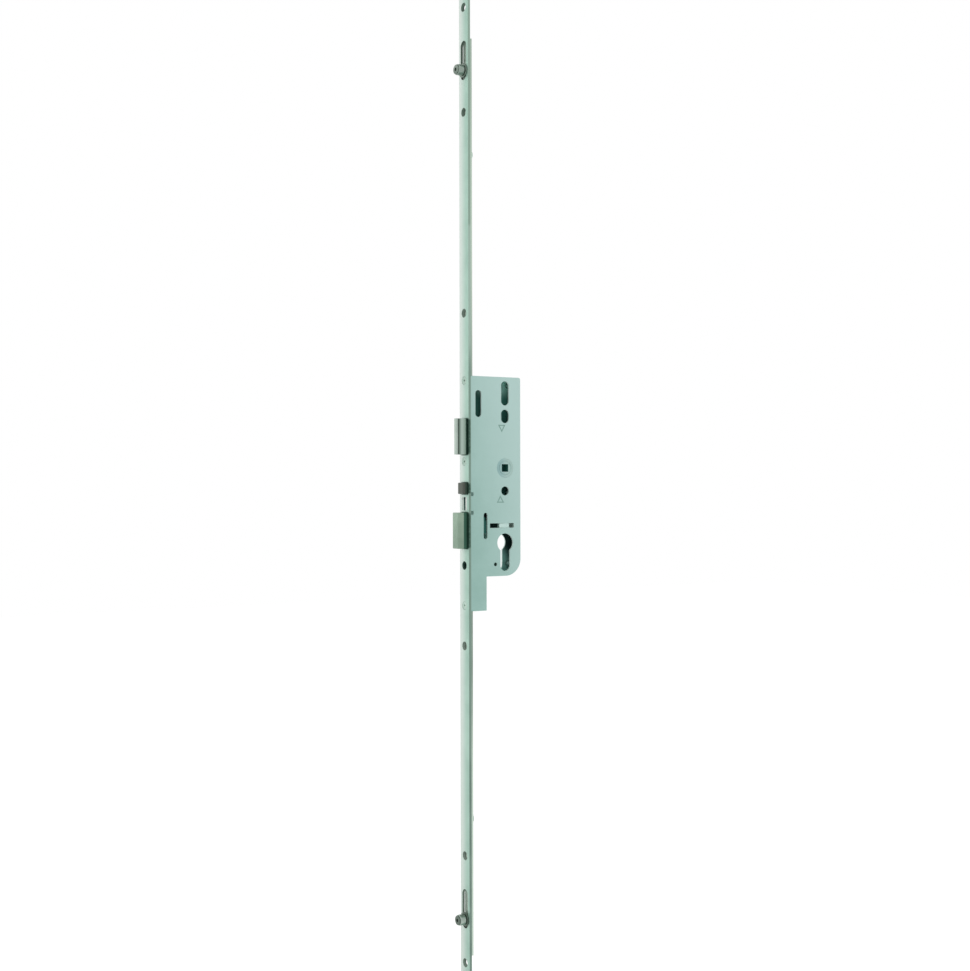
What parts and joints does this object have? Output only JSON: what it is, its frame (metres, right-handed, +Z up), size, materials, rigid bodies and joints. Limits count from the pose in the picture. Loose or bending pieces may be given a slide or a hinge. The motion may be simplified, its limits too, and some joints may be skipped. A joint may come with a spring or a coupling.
{
  "type": "multipoint door lock",
  "caption": "Door-edge lock with a long faceplate, sprung latch, square deadbolt, guard trigger and two locking rollers driven by a handle-turned gear case.",
  "frame": {"origin": "front face of the faceplate, on its centreline, level with the spindle", "axes": "+X into the door's edge, +Y across the door away from the case cover, +Z up"},
  "size_m": [0.069, 0.016, 0.915],
  "materials": {
    "zinc_faceplate": "bright zinc plate, rolled strip",
    "zinc_case": "bright zinc plate with a faint green cast",
    "zinc_rod": "bright zinc plate",
    "plated_screws": "zinc plate",
    "inner_steel": "plain steel, lightly oiled",
    "roller_steel": "turned steel",
    "cast_follower": "die cast, dull",
    "latch_metal": "nickel plate, greased at its root",
    "deadbolt_metal": "nickel plate, greased at its root",
    "tail_steel": "zinc plate",
    "trigger_metal": "dark die casting",
    "spring_steel": "spring wire"
  },
  "bodies": {
    "lock_body": {"faceplate": "zinc_faceplate", "lock_case": "zinc_case", "case_rim": "zinc_case", "case_cover": "zinc_case", "case_posts": "zinc_case", "case_screws": "plated_screws", "screw_blocks": "inner_steel", "rod_studs": "plated_screws", "upper_rod_guide": "zinc_rod", "latch_bracket": "inner_steel", "latch_spring": "spring_steel", "follower_spring": "spring_steel", "follower_spring_seat": "inner_steel", "trigger_spring": "spring_steel", "trigger_spring_seat": "inner_steel", "tumbler_spring": "spring_steel", "tumbler_spring_seat": "inner_steel", "tumbler_post": "inner_steel"},
    "drive_rods": {"upper_rod": "zinc_rod", "lower_rod": "zinc_rod", "drive_slide": "inner_steel", "upper_roller_stud": "roller_steel", "lower_roller_stud": "roller_steel"},
    "upper_roller": {"upper_roller": "roller_steel"},
    "lower_roller": {"lower_roller": "roller_steel"},
    "follower": {"follower_hub": "cast_follower", "drive_sector": "inner_steel"},
    "latch": {"latch_bolt": "latch_metal", "latch_tail": "latch_metal", "latch_rivet": "latch_metal"},
    "deadbolt": {"deadbolt_head": "deadbolt_metal", "deadbolt_tail": "tail_steel", "deadbolt_rivet": "deadbolt_metal", "deadbolt_guide_lug": "tail_steel"},
    "trigger": {"guard_trigger": "trigger_metal", "guard_foot": "trigger_metal"},
    "tumbler": {"tumbler": "inner_steel"}
  },
  "joints": [
    {"name": "rods_slide", "type": "slide", "parent": "lock_body", "child": "drive_rods", "axis": [0, 0, 1], "range_m": [0, 0.02]},
    {"name": "follower_turn", "type": "hinge", "parent": "lock_body", "child": "follower", "pos_m": [0.04, 0, 0], "axis": [0, 1, 0], "range_deg": [0, 45], "stiffness_Nm_per_rad": 0.6, "springref_deg": -17.19, "deforming": ["follower_spring"]},
    {"name": "latch_slide", "type": "slide", "parent": "lock_body", "child": "latch", "axis": [1, 0, 0], "range_m": [0, 0.012], "stiffness_N_per_m": 150, "springref_m": -0.01, "deforming": ["latch_spring"]},
    {"name": "upper_roller_turn", "type": "hinge", "parent": "drive_rods", "child": "upper_roller", "pos_m": [-0.0043, 0, 0.368], "axis": [1, 0, 0], "continuous": true},
    {"name": "lower_roller_turn", "type": "hinge", "parent": "drive_rods", "child": "lower_roller", "pos_m": [-0.0043, 0, -0.418], "axis": [1, 0, 0], "continuous": true},
    {"name": "deadbolt_slide", "type": "slide", "parent": "lock_body", "child": "deadbolt", "axis": [-1, 0, 0], "range_m": [-0.01, 0.01]},
    {"name": "trigger_slide", "type": "slide", "parent": "lock_body", "child": "trigger", "axis": [1, 0, 0], "range_m": [0, 0.0045], "stiffness_N_per_m": 300, "springref_m": -0.005, "deforming": ["trigger_spring"]},
    {"name": "tumbler_slide", "type": "slide", "parent": "lock_body", "child": "tumbler", "axis": [0, 0, 1], "range_m": [0, 0.003], "stiffness_N_per_m": 200, "springref_m": -0.003, "deforming": ["tumbler_spring"]}
  ],
  "couplings": [
    {"joint": "follower_turn", "follows": "rods_slide", "rad_per_m": 39.216},
    {"joint": "latch_slide", "follows": "rods_slide", "ratio": 0.6}
  ]
}
